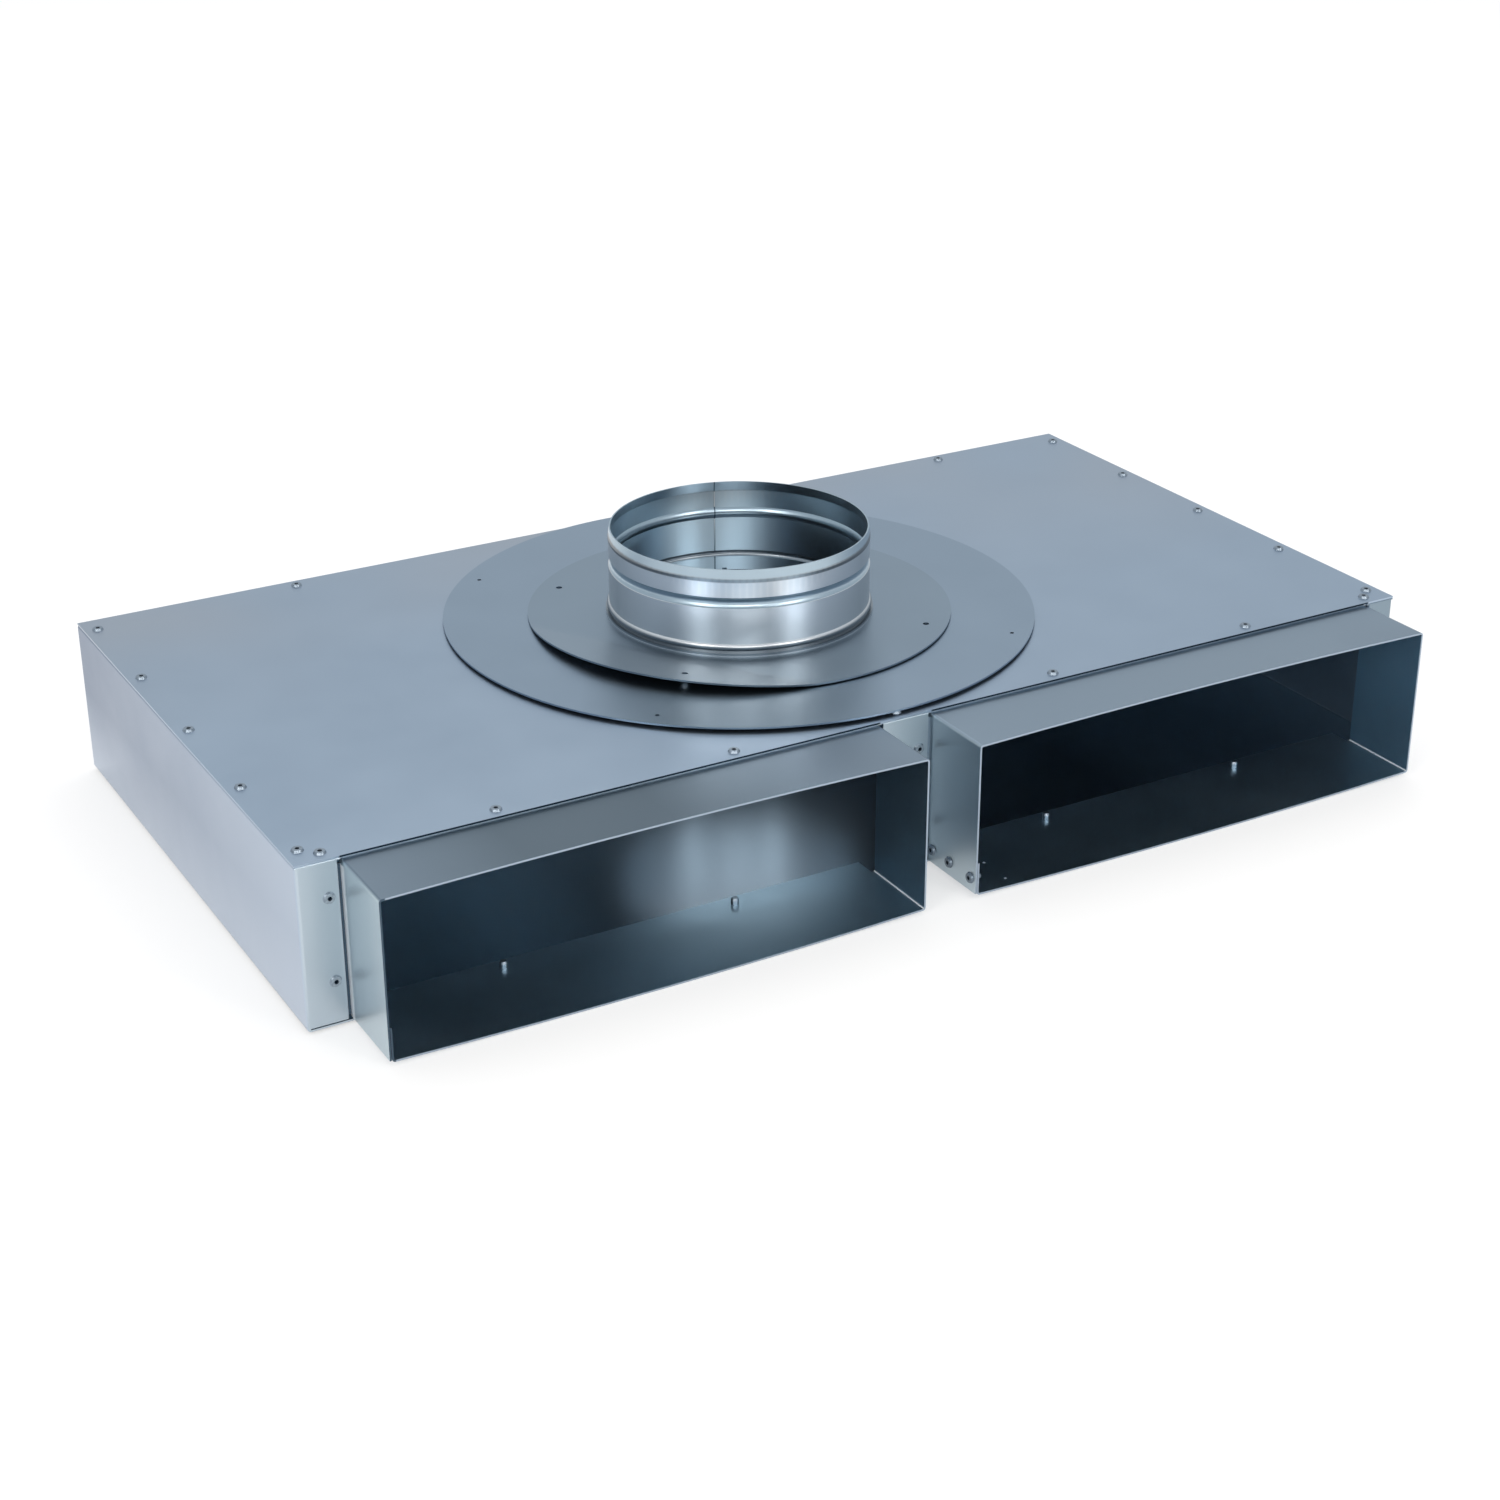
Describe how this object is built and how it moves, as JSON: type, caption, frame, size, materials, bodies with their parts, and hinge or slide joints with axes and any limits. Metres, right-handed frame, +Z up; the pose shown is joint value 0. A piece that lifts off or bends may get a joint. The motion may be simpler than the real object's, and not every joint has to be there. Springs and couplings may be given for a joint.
{
  "type": "flat duct branch piece",
  "caption": "Low sheet steel plenum box that splits a round duct collar on its lid into side-by-side flat rectangular outlets at its front.",
  "frame": {"origin": "on the underside of the box, in the middle of its plan", "axes": "+X along the front to the right, the flat outlets point to -Y, +Z up along the collar"},
  "size_m": [0.68, 0.392, 0.1462],
  "materials": {
    "galvanised_sheet": "smooth galvanised, satin",
    "plate_sheet": "smooth galvanised, satin",
    "collar_sheet": "bright rolled steel",
    "rivet_steel": "dull plated steel"
  },
  "bodies": {
    "root": {"tray": "galvanised_sheet", "lid": "galvanised_sheet", "front_rail": "galvanised_sheet", "left_sleeve": "galvanised_sheet", "right_sleeve": "galvanised_sheet", "big_plate": "plate_sheet", "small_plate": "plate_sheet", "collar": "collar_sheet", "lid_side_rivets": "rivet_steel", "lid_back_rivets": "rivet_steel", "lid_front_rivets": "rivet_steel", "lid_outlet_rivets": "rivet_steel", "floor_rivets": "rivet_steel", "side_strip_rivets": "rivet_steel", "middle_strip_rivets": "rivet_steel", "right_seam_rivets": "rivet_steel"}
  },
  "joints": []
}
